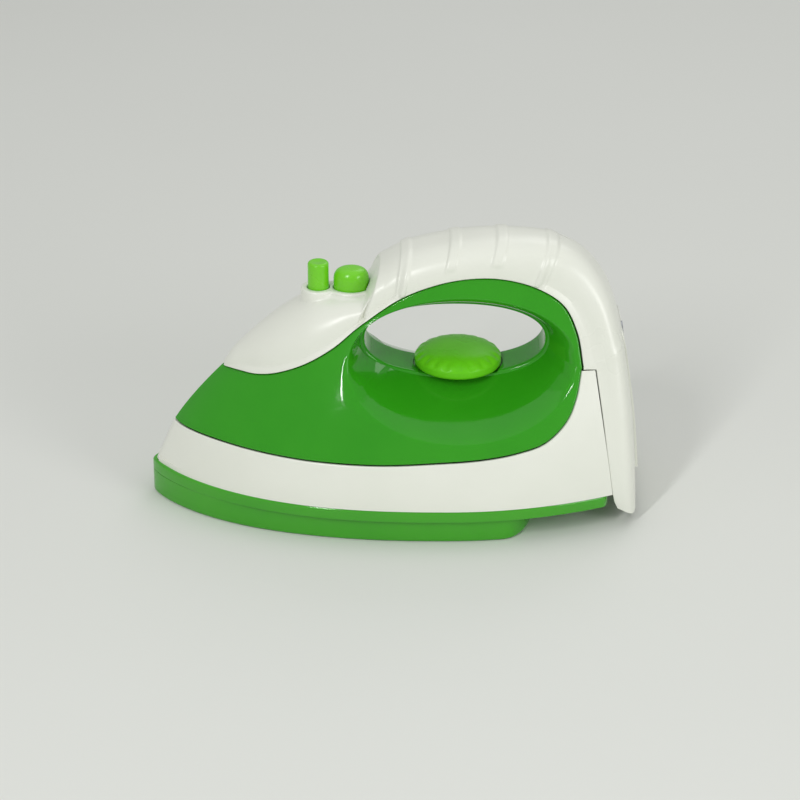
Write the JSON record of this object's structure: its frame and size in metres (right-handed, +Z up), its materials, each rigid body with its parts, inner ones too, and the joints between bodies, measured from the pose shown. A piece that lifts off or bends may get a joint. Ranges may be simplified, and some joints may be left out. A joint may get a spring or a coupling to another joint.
{
  "type": "toy steam iron",
  "caption": "Toy steam iron with a ribbed loop handle, clear tank and sole, sprung push buttons, a turning dial under the grip and a battery bay behind a lift-off door.",
  "frame": {"origin": "centre of the bounding box in plan, on the plane that the sole rests on", "axes": "+X from the nose to the heel, +Z up, +Y to the right seen from the heel towards the nose"},
  "size_m": [0.1999, 0.0978, 0.1171],
  "materials": {
    "white_plastic": "smooth moulded, satin gloss",
    "tank_plastic": "clear tinted moulding, glossy",
    "sole_plastic": "clear tinted moulding, glossy",
    "button_plastic": "smooth moulded",
    "dial_plastic": "smooth moulded",
    "box_plastic": "plain moulded",
    "spring_steel": "bright drawn wire",
    "screw_steel": "zinc plated",
    "board": "solder-masked laminate",
    "switch_plastic": "plain moulded",
    "cell_jacket": "plain jacket",
    "speaker_black": "plain moulded",
    "lamp_plastic": "clear moulded",
    "lead_red": "smooth insulation",
    "lead_black": "smooth insulation"
  },
  "bodies": {
    "body": {"sole": "sole_plastic", "lower_body": "white_plastic", "handle_left": "white_plastic", "handle_right": "white_plastic", "tank_left": "tank_plastic", "tank_right": "tank_plastic", "button_bezel": "white_plastic", "peg_spring": "spring_steel", "oval_spring": "spring_steel", "circuit_board": "board", "tact_switches": "switch_plastic", "battery_box": "box_plastic", "battery_cells": "cell_jacket", "battery_springs": "spring_steel", "battery_plates": "spring_steel", "speaker": "speaker_black", "nose_lamp": "lamp_plastic", "lead_red": "lead_red", "lead_black": "lead_black", "case_screws": "screw_steel", "sole_screws": "screw_steel"},
    "peg": {"peg_button": "button_plastic"},
    "oval": {"oval_button": "button_plastic"},
    "dial": {"dial": "dial_plastic", "dial_clip": "screw_steel"},
    "door": {"battery_door": "white_plastic", "door_screw": "screw_steel"}
  },
  "joints": [
    {"name": "peg_press", "type": "slide", "parent": "body", "child": "peg", "axis": [0, 0, -1], "range_m": [0, 0.003], "stiffness_N_per_m": 250, "springref_m": -0.001, "deforming": ["peg_spring"]},
    {"name": "oval_press", "type": "slide", "parent": "body", "child": "oval", "axis": [0, 0, -1], "range_m": [0, 0.0025], "stiffness_N_per_m": 250, "springref_m": -0.001, "deforming": ["oval_spring"]},
    {"name": "dial_turn", "type": "hinge", "parent": "body", "child": "dial", "pos_m": [0.026, 0, 0.058], "axis": [0, 0, 1], "continuous": true},
    {"name": "door_lift", "type": "slide", "parent": "body", "child": "door", "axis": [0.9936, 0, 0.1132], "range_m": [0, 0.02]}
  ]
}
